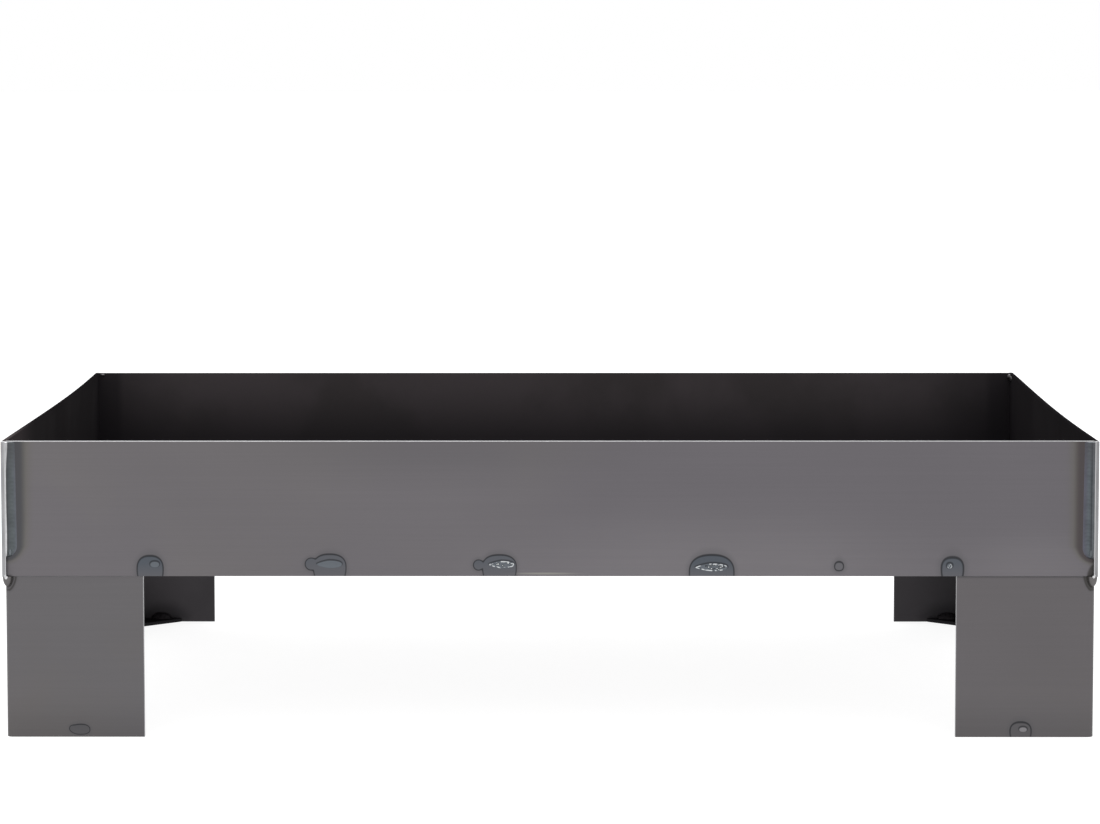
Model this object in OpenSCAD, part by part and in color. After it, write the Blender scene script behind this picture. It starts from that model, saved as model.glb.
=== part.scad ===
// Low open brazier: a welded tray of sheet steel on four legs of bent sheet.
// Origin on the floor under the middle of the tray, +Z up, the front faces -Y. Millimetres.

/* [Tray] */
// Length of the base plate, left to right
tray_length = 800; // [500:10:1200]
// Depth of the base plate, front to back
tray_depth = 600; // [400:10:900]
// Height of the four panels
wall_height = 100; // [60:5:200]
// Thickness of every sheet
sheet = 3; // [2:0.5:5]
// How far the side panels stand past the front and rear panels
side_overhang = 4; // [2:0.5:8]

/* [Legs] */
// Height from the floor to the underside of the tray
leg_height = 120; // [60:5:300]
// Width of a leg's two flanges, measured outside
leg_flange = 102; // [85:1:150]
// Inside radius of the bend down a leg's corner
bend_radius = 1.5; // [1:0.5:5]
// How far the legs stand in from the tray's outer faces
leg_setback = 1.5; // [0.5:0.5:3]
// Length of a foot plate's two square edges
foot_plate_edge = 70; // [40:1:80]

/* [Corner welds] */
// Width of a corner bead on the front or rear panel
bead_width = 6.5; // [4:0.5:10]
// Height at which a corner bead ends above the tray's underside
bead_start = 11; // [5:1:30]
// Length of a corner bead's tapered lower end
bead_tail = 9; // [4:1:20]
// Distance between the ripples of a corner bead
ripple_pitch = 3; // [2:0.5:6]
// Depth of a ripple, as a share of the bead
ripple_depth = 0.07; // [0.02:0.01:0.2]

/* [Tack welds] */
// How far past a leg's inner end, towards the middle, the outermost tray tacks lie
end_tack_inset = 4; // [0:1:20]
// Tacks along the front and rear panels, as shares of the way to the outermost ones
long_tack_shares = [-1, -0.548, -0.125, 0.403, 1];
// Tacks along the side panels, as shares of the way to the outermost ones
short_tack_shares = [-1, 0, 1];
// Length of a tack that holds the base plate
base_tack_length = 16; // [8:1:30]
// Size of a base plate tack up the panel and along the plate
base_tack_leg = 8; // [4:0.5:12]
// Length of a tack that holds a leg or a foot plate
leg_tack_length = 12; // [8:1:20]
// Size of a leg or foot plate tack on each of the two sheets
leg_tack_leg = 5.5; // [3:0.5:8]
// Place of the leg tacks along a flange, as a share of its width
leg_tack_share = 0.5; // [0.3:0.05:0.7]
// Place of the foot plate tacks along a square edge, as a share of its length
foot_tack_share = 0.74; // [0.5:0.02:0.78]
// Radius of the lump at a leg's outer top corner
corner_lump_r = 3.5; // [2.5:0.5:5]

/* [Hidden] */
$fn = 48;

half_x = tray_length / 2;
half_y = tray_depth / 2;
// Height of the tray's underside, of its floor and of its rim
tray_bottom = leg_height;
tray_floor = tray_bottom + sheet;
rim = tray_bottom + wall_height;
// Outer faces of the side panels, and of the front and rear panels
outer_x = half_x + sheet;
outer_y = half_y + sheet;
// A leg's outer corner, and the outside radius of its bend
leg_corner = [outer_x - leg_setback, outer_y - leg_setback];
bend_outer = bend_radius + sheet;
// Outermost tray tacks, just past the legs' inner ends, along X and along Y
end_tack = leg_corner - [leg_flange + end_tack_inset, leg_flange + end_tack_inset];
// Length cut off a foot plate's corner to clear the bend
corner_clip = 2 * bend_radius;
// Length of a corner bead, its whole number of ripples and its rounded upper end
bead_length = wall_height - bead_start;
bead_ripples = round(bead_length / ripple_pitch);
bead_crown = ripple_pitch;
// Rings a ripple, points round a bead, and the smallest size of a bead's ends
rings_per_ripple = 3;
arc_steps = 6;
end_size = 0.25;
tack_ripples = 3;
tack_ripple_depth = 0.05;

steel_outside = "#6e6b6e";
steel_leg = "#6a686a";
steel_inside = "#3a393b";
weld_blue = "#5b6064";

// Carries a shape drawn at the front left corner, with the middle of the tray towards +X and +Y,
// to the corner on side_x (-1 left, 1 right) and side_y (-1 front, 1 rear)
module at_corner(side_x, side_y, corner) {
    translate([side_x * corner[0], side_y * corner[1], 0])
        mirror([side_x > 0 ? 1 : 0, 0, 0])
            mirror([0, side_y > 0 ? 1 : 0, 0])
                children();
}

// Repeats what is drawn on a leg's front flange on its side flange
module on_both_flanges() {
    children();
    mirror([1, -1, 0]) children();
}

// Size of a bead at height z: rounded off over its two ends, with a groove between ripples
function end_round(distance, tail) =
    distance >= tail ? 1 : sqrt(max(0, 1 - pow(1 - distance / tail, 2)));
function bead_size(z, length, ripples, depth, tails) =
    max(end_size, end_round(z, tails[0]) * end_round(length - z, tails[1]))
        * (1 - depth * (1 - abs(sin(180 * z * ripples / length))));

// Weld bead in the corner between the planes X = 0 and Y = 0, running up from Z = 0.
// Each ring is the root of the weld followed by an arc from one sheet to the other.
module fillet_bead(length, legs, ripples, depth, tails) {
    rings = ripples * rings_per_ripple;
    ring_points = arc_steps + 2;
    points = [
        for (ring = [0:rings])
            let (z = length * ring / rings, size = bead_size(z, length, ripples, depth, tails))
                for (step = [-1:arc_steps])
                    step < 0 ? [0, 0, z] : [
                        legs[0] * size * cos(90 * step / arc_steps),
                        legs[1] * size * sin(90 * step / arc_steps),
                        z
                    ]
    ];
    sides = [
        for (ring = [0:rings - 1], step = [0:ring_points - 1])
            let (a = ring * ring_points + step,
                 b = ring * ring_points + (step + 1) % ring_points)
                for (face = [[a, b + ring_points, b], [a, a + ring_points, b + ring_points]])
                    face
    ];
    lower_end = [for (step = [0:ring_points - 1]) step];
    upper_end = [for (step = [ring_points - 1:-1:0]) rings * ring_points + step];
    polyhedron(points, concat(sides, [lower_end, upper_end]), convexity = 4);
}

// Short tack weld, tapered to both ends, in the same corner as a bead
module tack(length, leg) {
    fillet_bead(length, [leg, leg], tack_ripples, tack_ripple_depth, [length / 2, length / 2]);
}

// L-section of a leg: outer corner at the origin, flanges along +X and +Y, bent round the corner
module leg_section() {
    difference() {
        union() {
            translate([bend_outer, 0]) square([leg_flange - bend_outer, sheet]);
            translate([0, bend_outer]) square([sheet, leg_flange - bend_outer]);
            bend_sector();
        }
        translate([bend_outer, bend_outer]) circle(r = bend_radius);
    }
}

// Quarter disc inside the outer face of the bend
module bend_sector() {
    intersection() {
        translate([bend_outer, bend_outer]) circle(r = bend_outer);
        square(bend_outer);
    }
}

// Everything that a leg's outer faces enclose, seen from above
module leg_footprint() {
    bend_sector();
    translate([bend_outer, 0]) square([leg_flange - bend_outer, leg_flange]);
    translate([0, bend_outer]) square([bend_outer, leg_flange - bend_outer]);
}

module base_plate() {
    color(steel_inside)
        translate([-half_x, -half_y, tray_bottom])
            cube([tray_length, tray_depth, sheet]);
}

// Panel between the two side panels; side is -1 for the front and 1 for the rear
module long_panel(side) {
    color(steel_outside)
        translate([-half_x, side > 0 ? half_y : -outer_y, tray_bottom])
            cube([tray_length, sheet, wall_height]);
}
module front_panel() long_panel(-1);
module rear_panel() long_panel(1);

// Panel that covers the ends of the long panels and stands past them; side is -1 for the left
module side_panel(side) {
    panel_depth = 2 * (outer_y + side_overhang);
    color(steel_outside)
        translate([side > 0 ? half_x : -outer_x, -panel_depth / 2, tray_bottom])
            cube([sheet, panel_depth, wall_height]);
}
module left_side_panel() side_panel(-1);
module right_side_panel() side_panel(1);

// Leg: its upper end meets the base plate and the panels' lower edges
module leg(side_x, side_y) {
    color(steel_leg)
        at_corner(side_x, side_y, leg_corner)
            linear_extrude(height = leg_height)
                leg_section();
}
module leg_front_left() leg(-1, -1);
module leg_front_right() leg(1, -1);
module leg_rear_left() leg(-1, 1);
module leg_rear_right() leg(1, 1);

// Triangle inside the foot of a leg, flush with its lower end, clipped to clear the bend
module foot_plate(side_x, side_y) {
    color(steel_inside)
        at_corner(side_x, side_y, leg_corner)
            translate([sheet, sheet, 0])
                linear_extrude(height = sheet)
                    polygon([
                        [corner_clip, 0], [foot_plate_edge, 0],
                        [0, foot_plate_edge], [0, corner_clip]
                    ]);
}
module foot_plate_front_left() foot_plate(-1, -1);
module foot_plate_front_right() foot_plate(1, -1);
module foot_plate_rear_left() foot_plate(-1, 1);
module foot_plate_rear_right() foot_plate(1, 1);

// Rippled bead up the ledge that a side panel forms past a long panel, as deep as the ledge
module corner_weld(side_x, side_y) {
    color(weld_blue)
        at_corner(side_x, side_y, [half_x, outer_y])
            translate([0, 0, tray_bottom + bead_start])
                mirror([0, 1, 0])
                    fillet_bead(bead_length, [bead_width, side_overhang],
                                bead_ripples, ripple_depth, [bead_tail, bead_crown]);
}
module corner_weld_front_left() corner_weld(-1, -1);
module corner_weld_front_right() corner_weld(1, -1);
module corner_weld_rear_left() corner_weld(-1, 1);
module corner_weld_rear_right() corner_weld(1, 1);

// Tacks on the tray's floor against a wall whose inner face lies at Y = -wall
module base_tack_row(places, wall) {
    color(weld_blue)
        for (place = places)
            translate([place - base_tack_length / 2, -wall, tray_floor])
                rotate(a = 120, v = [1, 1, 1])
                    tack(base_tack_length, base_tack_leg);
}
module base_tacks_front() base_tack_row(long_tack_shares * end_tack[0], half_y);
module base_tacks_rear() mirror([0, 1, 0]) base_tacks_front();
module base_tacks_left()
    rotate([0, 0, -90]) base_tack_row(short_tack_shares * end_tack[1], half_x);
module base_tacks_right() mirror([1, 0, 0]) base_tacks_left();

// Lump under a side panel's end, wrapped round the leg's outer corner
module corner_lump() {
    lump_center = [corner_lump_r - leg_setback, -leg_setback, leg_height - leg_setback];
    difference() {
        translate(lump_center) sphere(r = corner_lump_r);
        translate([-corner_lump_r, -2 * corner_lump_r, leg_height])
            cube([3 * corner_lump_r, 3 * corner_lump_r, corner_lump_r]);
        linear_extrude(height = leg_height) leg_footprint();
    }
}

// Welds of one leg: the lump outside, and a tack inside each flange under the base plate
module leg_tacks(side_x, side_y) {
    color(weld_blue)
        at_corner(side_x, side_y, leg_corner) {
            corner_lump();
            on_both_flanges()
                translate([leg_tack_share * leg_flange - leg_tack_length / 2, sheet, leg_height])
                    rotate([0, 90, 0])
                        tack(leg_tack_length, leg_tack_leg);
        }
}
module leg_tacks_front_left() leg_tacks(-1, -1);
module leg_tacks_front_right() leg_tacks(1, -1);
module leg_tacks_rear_left() leg_tacks(-1, 1);
module leg_tacks_rear_right() leg_tacks(1, 1);

// Welds of one foot plate: a tack on its upper face against each flange
module foot_tacks(side_x, side_y) {
    color(weld_blue)
        at_corner(side_x, side_y, leg_corner)
            on_both_flanges()
                translate([
                    sheet + foot_tack_share * foot_plate_edge - leg_tack_length / 2, sheet, sheet
                ])
                    rotate(a = 120, v = [1, 1, 1])
                        tack(leg_tack_length, leg_tack_leg);
}
module foot_tacks_front_left() foot_tacks(-1, -1);
module foot_tacks_front_right() foot_tacks(1, -1);
module foot_tacks_rear_left() foot_tacks(-1, 1);
module foot_tacks_rear_right() foot_tacks(1, 1);

base_plate();
front_panel();
rear_panel();
left_side_panel();
right_side_panel();
leg_front_left();
leg_front_right();
leg_rear_left();
leg_rear_right();
foot_plate_front_left();
foot_plate_front_right();
foot_plate_rear_left();
foot_plate_rear_right();
corner_weld_front_left();
corner_weld_front_right();
corner_weld_rear_left();
corner_weld_rear_right();
base_tacks_front();
base_tacks_rear();
base_tacks_left();
base_tacks_right();
leg_tacks_front_left();
leg_tacks_front_right();
leg_tacks_rear_left();
leg_tacks_rear_right();
foot_tacks_front_left();
foot_tacks_front_right();
foot_tacks_rear_left();
foot_tacks_rear_right();
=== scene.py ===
# %% [markdown]
# A brazier is a fire tray that stands outdoors, and this is the plainest kind a workshop makes:
# five flat sheets of steel welded into a low open box, on four legs folded from sheet. With so
# little shape, the eye reads the making: bright cut edges, blue-grey marks where a weld behind
# has heated the sheet, and the beads up the corners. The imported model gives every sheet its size
# and place, so all that is made here is finish: eased edges, rippled welds and the colours that
# heat leaves in steel.

# %% Load the frame
import math
import random
from collections import namedtuple

import bmesh
import bpy
from mathutils import Matrix, Vector


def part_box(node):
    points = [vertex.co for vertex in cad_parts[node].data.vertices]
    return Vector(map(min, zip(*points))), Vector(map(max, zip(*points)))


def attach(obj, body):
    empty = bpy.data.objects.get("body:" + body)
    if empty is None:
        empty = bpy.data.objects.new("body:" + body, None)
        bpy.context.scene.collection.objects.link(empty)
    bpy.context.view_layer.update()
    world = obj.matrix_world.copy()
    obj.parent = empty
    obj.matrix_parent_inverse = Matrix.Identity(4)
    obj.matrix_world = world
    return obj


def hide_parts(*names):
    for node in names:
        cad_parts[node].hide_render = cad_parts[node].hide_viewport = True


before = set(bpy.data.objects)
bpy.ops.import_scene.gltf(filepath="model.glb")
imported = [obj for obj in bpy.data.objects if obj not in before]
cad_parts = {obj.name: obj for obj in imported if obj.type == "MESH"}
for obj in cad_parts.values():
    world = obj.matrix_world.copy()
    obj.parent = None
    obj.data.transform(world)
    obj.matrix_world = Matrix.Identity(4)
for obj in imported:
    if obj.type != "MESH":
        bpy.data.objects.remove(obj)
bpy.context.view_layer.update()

MM = 0.001

# %% [markdown]
# The boxes of a few nodes give the tray's inner and outer faces, its floor and rim, the legs'
# corners and the sheet's thickness. Lengths are in metres, as in Blender, and MM marks the
# numbers that come straight from the workshop.

# %% Sizes from the frame
plate_low, plate_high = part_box("base_plate")
front_low, front_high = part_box("front_panel")
_, side_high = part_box("right_side_panel")
leg_low, leg_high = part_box("leg_front_right")
foot_low, foot_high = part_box("foot_plate_front_right")
bead_low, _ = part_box("corner_weld_front_right")

SHEET = plate_high.z - plate_low.z
INNER_X, INNER_Y = plate_high.x, plate_high.y
OUTER_X, OUTER_Y = side_high.x, -front_low.y
PANEL_END_Y = side_high.y
TRAY_BOTTOM, TRAY_FLOOR, RIM = plate_low.z, plate_high.z, front_high.z
LEG_X, LEG_Y = leg_high.x, -leg_low.y
LEG_FLANGE = leg_high.x - leg_low.x
FOOT_EDGE = foot_high.x - foot_low.x
CORNERS = {
    "front_left": (-1, -1), "front_right": (1, -1),
    "rear_left": (-1, 1), "rear_right": (1, 1),
}
print(f"tray {2 * OUTER_X:.3f} x {2 * PANEL_END_Y:.3f} m, sheet {SHEET / MM:.1f} mm")

# %% [markdown]
# Welding prints through a sheet. Where a tack sits behind it, the steel turns blue-grey inside a
# thin dark outline, and in the middle a puddle has melted and set under a dark brow. A picture of
# such a mark would blur up close. So the mesh carries distances in millimetres as attributes, and
# the shader draws a line where a distance is 0 and a fill where it is less. These are the
# distances, with what a point gets that is near no mark.

# %% The distances that a mesh carries
FAR = 99.0
UNMARKED = {
    "tint": FAR,     # to the outline of a heat mark, less than 0 inside it
    "cast": 0.0,     # how much blue the mark's inside has taken
    "brow": FAR,     # to the dark rim round a puddle, thickest above it
    "puddle": FAR,   # to the puddle itself
    "ripple": 0.0,   # how strong the painted glints in a puddle are, from 0 to 1
    "band": FAR,     # to the toe of a corner bead
    "lump": FAR,     # to the edge of the lump at a leg's top
    "gap": FAR,      # below a leg's top, a dark line, partly a dirty joint and partly painted shade
    "melt": FAR,     # to the molten strip on a side panel's cut edge, painted bright, partly a painted highlight
    "drop": FAR,     # to the drop at that strip's lower end, painted nearly white as a highlight
    "scorch": FAR,   # to sooty or scorched steel, beside a weld
    "across": 0.0,   # share of the way across a bead
}

# %% [markdown]
# Materials are written with nodes, so nothing depends on an image file. One helper turns hex
# colours into the linear values that a renderer adds up, and one adds a node, sets it and plugs
# it in. On these stands what all finishes here share: noise of a real size, an amount that fades
# with a distance or a place, and layers of colour laid on by such amounts.

# %% Colour and node helpers
def linear(hex_colour):
    """The linear RGBA of an sRGB hex colour."""
    channels = [int(hex_colour[i:i + 2], 16) / 255 for i in (1, 3, 5)]
    return [c / 12.92 if c <= 0.04045 else ((c + 0.055) / 1.055) ** 2.4 for c in channels] + [1.0]


def add(tree, kind, inputs=None, **settings):
    """A node with its settings, and inputs from sockets, hex colours, values or the mesh."""
    node = tree.nodes.new(kind)
    for name, value in settings.items():
        setattr(node, name, value)
    for name, value in (inputs or {}).items():
        if value in UNMARKED:
            value = add(tree, "ShaderNodeAttribute", attribute_name=value).outputs["Fac"]
        if isinstance(value, bpy.types.NodeSocket):
            tree.links.new(value, node.inputs[name])
        else:
            node.inputs[name].default_value = linear(value) if isinstance(value, str) else value
    return node


def fade(tree, value, start, end, first=1.0, last=0.0, around=None, times=()):
    """An amount that runs smoothly from first, where value is start, to last, where it is end.

    With around, what counts is how far the value is from that. The times are multiplied in.
    """
    if around is not None:
        off = add(tree, "ShaderNodeMath", {0: value, 1: around}, operation="SUBTRACT")
        value = add(tree, "ShaderNodeMath", {0: off.outputs[0]}, operation="ABSOLUTE").outputs[0]
    amount = add(
        tree, "ShaderNodeMapRange", {0: value, 1: start, 2: end, 3: first, 4: last},
        interpolation_type="SMOOTHSTEP",
    )
    for factor in times:
        amount = add(tree, "ShaderNodeMath", {0: amount.outputs[0], 1: factor}, operation="MULTIPLY")
    return amount.outputs[0]


def layered(tree, colour, layers):
    """The colour with each (amount, colour) layer over it in turn, and some with a blending."""
    for amount, on_top, *blending in layers:
        mix = add(
            tree, "ShaderNodeMix", {0: amount, 6: colour, 7: on_top}, data_type="RGBA",
            blend_type=blending[0] if blending else "MIX",
        )
        colour = mix.outputs[2]
    return colour


def start_material(name, sizes, inputs):
    """A new material, its tree, place and (X, Y, Z), and noise of each (size in metres, detail)."""
    material = bpy.data.materials.new(name)
    material.use_nodes = True
    tree = material.node_tree
    tree.nodes.clear()
    shader = add(tree, "ShaderNodeBsdfPrincipled", inputs)
    add(tree, "ShaderNodeOutputMaterial", {"Surface": shader.outputs[0]})
    place = add(tree, "ShaderNodeTexCoord").outputs["Object"]
    parts = add(tree, "ShaderNodeSeparateXYZ", {0: place}).outputs
    noises = [
        add(tree, "ShaderNodeTexNoise", {"Vector": place, "Scale": 1 / size, "Detail": detail})
        for size, detail in sizes
    ]
    return material, tree, place, parts, [noise.outputs["Fac"] for noise in noises]


def finish_material(material, colour, noise, smooth, rough, height, strength, depth):
    """The material with its colour, a roughness that follows noise, and a bump of this depth."""
    tree = material.node_tree
    shader = tree.nodes["Principled BSDF"]
    roughness = fade(tree, noise, 0.3, 0.7, smooth, rough)
    bump = add(tree, "ShaderNodeBump", {"Height": height, "Strength": strength, "Distance": depth})
    for name, value in (("Base Color", colour), ("Roughness", roughness), ("Normal", bump.outputs[0])):
        tree.links.new(value, shader.inputs[name])
    return material


# %% [markdown]
# The outside is bare cold-rolled mild steel: smooth and grey, softened by very fine lines along the
# sheet, with faint clouds from handling. The clouds are a hand wide, so their noise has a size of 0.16
# m. The lines are drawn 1.2 mm apart, coarser than the real ones, which would not show. Metal takes its
# colour from Base Color, and a roughness near 0.45 leaves it dull but not matt. Over that lie paler
# places low on the front, painted light as from the floor below, a darker place under the rim, a thin
# straw-tinted line along the lower edge that is a painted highlight, painted shade that darkens the legs
# towards the floor, steel gone dark and olive beside the corner beads, and the prints of welds behind,
# with painted glints in some puddles.

# %% Cold-rolled steel
HEAT_LINE, HEAT_HALO = "#242528", "#4f4e51"
BAND_DARK, BAND_BROWN, BAND_OLIVE, FEET_SHADE = "#464649", "#464142", "#5b5950", "#4b494a"
# The first two colours paint glints in the puddles: light dots and the dark rims round them.
GLINT_LIGHT, GLINT_RIM_DARK, ARC_DARK = "#cfd2d4", "#202326", "#383634"
# The first size is how far apart the painted glints lie.
GLINT_CELL, ROLLING_LINE = 1.9 * MM, 1.2 * MM
# Each place is a middle and a reach in X and Z, a strength and a colour.
PANEL_PLACES = [
    # Two paler places low on the front, painted light as from the floor below.
    (0.120, 0.115, 0.240, 0.0750, 0.70, "#706d70"),
    (0.360, 0.125, 0.085, 0.0400, 0.45, "#706d70"),
    # A darker place under the rim.
    (-0.085, 0.220, 0.200, 0.0450, 0.38, "#504e51"),
    # A thin pale straw-tinted line along the lower edge, a painted highlight.
    (-0.004, 0.122, 0.034, 0.0012, 0.66, "#8c8b84"),
]
PLACE_DEPTH = 0.2


def rolled_steel(name, grey, warm, cool, heat_grey, puddle_grey, places=()):
    """Bare cold-rolled sheet, with its clouds, rolling lines and heat marks."""
    material, tree, place, (x, _, z), (cloud, drift, breaks) = start_material(
        name, [(0.16, 3.0), (0.45, 1.0), (0.0022, 0.0)], {"Metallic": 0.75}
    )
    layers = [(fade(tree, cloud, 0.62, 0.42), warm), (fade(tree, drift, 0.62, 0.45), cool)]
    for mid_x, mid_z, reach_x, reach_z, strength, shade in places:
        middle, reach = (mid_x, -OUTER_Y, mid_z), (reach_x, PLACE_DEPTH, reach_z)
        spot = add(
            tree, "ShaderNodeMapping", {"Vector": place, "Location": middle, "Scale": reach},
            vector_type="TEXTURE",
        )
        spot = add(tree, "ShaderNodeVectorMath", {0: spot.outputs[0]}, operation="LENGTH")
        layers.append((fade(tree, spot.outputs["Value"], 0.1, 1.0, strength), shade))
    toe = layered(tree, BAND_DARK, [(fade(tree, x, -MM, MM, 0.0, 1.0), BAND_BROWN)])

    stretched = add(tree, "ShaderNodeMapping", {"Vector": place, "Scale": (8.0, 8.0, 1 / ROLLING_LINE)})
    grain = add(
        tree, "ShaderNodeTexNoise", {"Vector": stretched.outputs[0], "Scale": 1.0, "Detail": 2.0}
    ).outputs["Fac"]
    # Painted glints: light dots with dark rims inside a rippled puddle, and a broken light ring round
    # its edge.
    glint_cell = add(
        tree, "ShaderNodeTexVoronoi", {"Vector": place, "Scale": 1 / GLINT_CELL, "Randomness": 0.9}
    ).outputs["Distance"]
    in_puddle = fade(tree, "puddle", -1.2, -0.6, times=["ripple"])
    broken = fade(tree, breaks, 0.46, 0.56, 0.0, 1.0, times=["ripple"])
    colour = layered(tree, grey, layers + [
        # Painted shade: the legs darker towards the floor.
        (fade(tree, z, 0.0, 34 * MM, 0.35), FEET_SHADE),
        (1.0, fade(tree, grain, 0.3, 0.7, 0.985, 1.015), "MULTIPLY"),
        (fade(tree, "band", 3.0, 12.5, 0.6), BAND_OLIVE),
        (fade(tree, "band", 2.4, 7.4), toe),
        (fade(tree, "tint", 0.0, 4.5, 0.4), HEAT_HALO),
        (fade(tree, "tint", -0.3, 0.3, times=["cast"]), heat_grey),
        (fade(tree, "brow", -0.3, 0.3, 0.7), HEAT_LINE),
        (fade(tree, "puddle", -0.4, 0.2), puddle_grey),
        (fade(tree, "tint", 0.1875, 0.75, 0.85, around=0.0), HEAT_LINE),
        (fade(tree, "lump", 2.0, 5.0, 0.6), HEAT_HALO),
        (fade(tree, "lump", 0.25, 1.0, 0.8, around=0.6), ARC_DARK),
        (fade(tree, "lump", 0.25, 1.0, 0.8, around=2.5), ARC_DARK),
        # The dark line at a leg's top: partly a dirty joint, partly painted shade under the panel's
        # edge.
        (fade(tree, "gap", 0.4, 2.2, 0.3), HEAT_LINE),
        (fade(tree, "scorch", -0.8, 1.2, 0.85), ARC_DARK),
        # The painted glints, dots and a broken ring, laid on last.
        (fade(tree, glint_cell, 0.38, 0.50, times=[in_puddle]), GLINT_RIM_DARK),
        (fade(tree, glint_cell, 0.18, 0.30, times=[in_puddle]), GLINT_LIGHT),
        (fade(tree, "puddle", 0.1625, 0.65, 0.8, around=-0.5, times=[broken]), GLINT_LIGHT),
    ])
    return finish_material(material, colour, cloud, 0.40, 0.52, grain, 0.12, 0.05 * MM)


PANEL_STEEL = rolled_steel(
    "cold_rolled_steel", "#646164", "#686566", "#605d61", "#4a4f56", "#5b6066", PANEL_PLACES
)
LEG_STEEL = rolled_steel(
    "cold_rolled_steel_legs", "#5e5c5e", "#605d5d", "#5c595b", "#49494c", "#787679"
)
print("rolled steel with", len(PANEL_STEEL.node_tree.nodes), "nodes")

# %% [markdown]
# The inside is the same steel after fire, black partly with smoke and scale and partly with painted
# shade. Soot is almost matt, so it keeps little gloss, and it lies in patches about 90 mm wide with
# specks of scale a few millimetres across. The end walls are blacker than the long ones, which is
# painted shade, and the top edges blackest, soot and painted shade. The legs' insides never saw the
# fire, and their dark, like the foot plates', is painted shade. One function makes all of these from two
# colours each, with painted shade low down and in corners, soot near welds, and darker towards the
# right.

# %% Smoke-black steel and painted shade
# The black laid on is soot near welds and painted shade low down and in corners.
SOOT_AND_SHADE_BLACK, BROWNED = "#19171a", "#564f50"
# From here towards the right wall the black deepens.
DARKER_RIGHT_FROM = 230 * MM
BROWN_FROM, BROWN_TO = 10 * MM - INNER_X, 30 * MM - INNER_X


def blackened_steel(name, dark, light, gloss, sooty, clean, soot, corner_shade, right_darkening=0.3):
    """Steel under smoke and painted shade, blackest below the height sooty and clearing up to clean."""
    material, tree, place, (x, y, z), (patch, scale) = start_material(
        name, [(0.09, 5.0), (0.004, 2.0)], {"Specular IOR Level": gloss}
    )
    to_front = fade(tree, y, -INNER_Y, -0.45 * INNER_Y, 0.55)
    from_middle = add(tree, "ShaderNodeVectorMath", {0: place}, operation="ABSOLUTE").outputs[0]
    from_walls = add(
        tree, "ShaderNodeVectorMath", {0: (INNER_X, INNER_Y, 0), 1: from_middle}, operation="SUBTRACT"
    )
    off_x, off_y, _ = add(tree, "ShaderNodeSeparateXYZ", {0: from_walls.outputs[0]}).outputs
    corner = add(tree, "ShaderNodeMath", {0: off_x, 1: off_y}, operation="MAXIMUM").outputs[0]
    colour = layered(tree, dark, [
        (fade(tree, patch, 0.64, 0.40), light),
        # Darker low down: soot and painted shade.
        (fade(tree, z, sooty, clean, soot), SOOT_AND_SHADE_BLACK),
        # Darker towards the right.
        (fade(tree, x, DARKER_RIGHT_FROM, INNER_X, 0.0, right_darkening), SOOT_AND_SHADE_BLACK),
        (fade(tree, x, BROWN_FROM, BROWN_TO, times=[to_front]), BROWNED),
        # Painted shade, darkest in the corners.
        (fade(tree, corner, 10 * MM, 80 * MM, corner_shade), SOOT_AND_SHADE_BLACK),
        (fade(tree, corner, 15 * MM, 23 * MM, corner_shade), SOOT_AND_SHADE_BLACK),
        (fade(tree, "scorch", -4.0, 8.0, 0.5), SOOT_AND_SHADE_BLACK),
    ])
    return finish_material(material, colour, patch, 0.60, 0.76, scale, 0.25, 0.2 * MM)


# Below the first height the tray's black deepens with soot and painted shade; below the second the legs'
# painted shade deepens.
SOOT_SHADE_LINE, LEG_SHADE_LINE = RIM - 70 * MM, 0.4 * TRAY_BOTTOM
# The long walls and floor inside: soot and painted shade.
TRAY_BLACK = blackened_steel("smoke_and_shade_black_steel", "#393536", "#423d3f", 0.05, SOOT_SHADE_LINE, RIM, 0.85, 0.5)
# The end walls, blacker than the long ones: painted shade over soot.
END_BLACK = blackened_steel("soot_and_shade_black_steel", "#242223", "#292728", 0.0, TRAY_FLOOR, RIM, 0.6, 0.3)
# The top edges, blackest: soot with painted shade.
RIM_BLACK = blackened_steel("rim_soot_and_shade_steel", "#131213", "#181617", 0.0, TRAY_FLOOR, RIM, 0.0, 0.0)
# The legs' insides, darkened with painted shade from the tray above.
LEG_INSIDE_SHADE = blackened_steel("leg_inside_shade_steel", "#3d3a3d", "#454245", 0.2, 0.0, LEG_SHADE_LINE, 0.2, 0.0, 0.6)
# The foot plates, darkened with painted shade under the tray.
FOOT_PLATE_SHADE = blackened_steel("foot_plate_shade_steel", "#1c1b1d", "#222123", 0.05, 0.0, LEG_SHADE_LINE, 0.0, 0.0)

# %% [markdown]
# A cut edge is the brightest thing on the object. The laser leaves it bare, with lines across the
# thickness that are drawn 0.8 mm apart, coarse enough to show. More metal than on the faces makes it
# catch the light as a silver line, and faces that look upwards are painted lighter, a painted highlight
# that makes the rim brightest. Where a corner bead has run along it, the inner part has melted and set
# smooth, and it is painted bright, partly paler set metal and partly a painted highlight, down to a drop
# painted nearly white.

# %% Laser-cut edge
material, tree, _, (x, _, _), (lines, stain) = start_material(
    "laser_cut_edge", [(0.0008, 1.0), (0.03, 2.0)], {"Metallic": 0.9}
)
looking = add(tree, "ShaderNodeNewGeometry").outputs["Normal"]
upward = add(tree, "ShaderNodeSeparateXYZ", {0: looking}).outputs["Z"]
colour = layered(tree, "#8c8c8e", [
    (fade(tree, stain, 0.62, 0.40), "#9a9a9c"),
    # Painted highlight: faces that look upwards are painted lighter.
    (fade(tree, upward, 0.2, 0.7, 0.0, 1.0), "#aeaeb0"),
    (fade(tree, x, -INNER_X, INNER_X, 0.0, 1.0), "#e8e8e8", "MULTIPLY"),
    # The molten strip and its drop, painted bright: partly paler set metal, partly a painted highlight.
    (fade(tree, "melt", -0.15, 0.25), "#b8b8ba"),
    (fade(tree, "drop", -0.15, 0.25), "#c6c6c8"),
])
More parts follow.
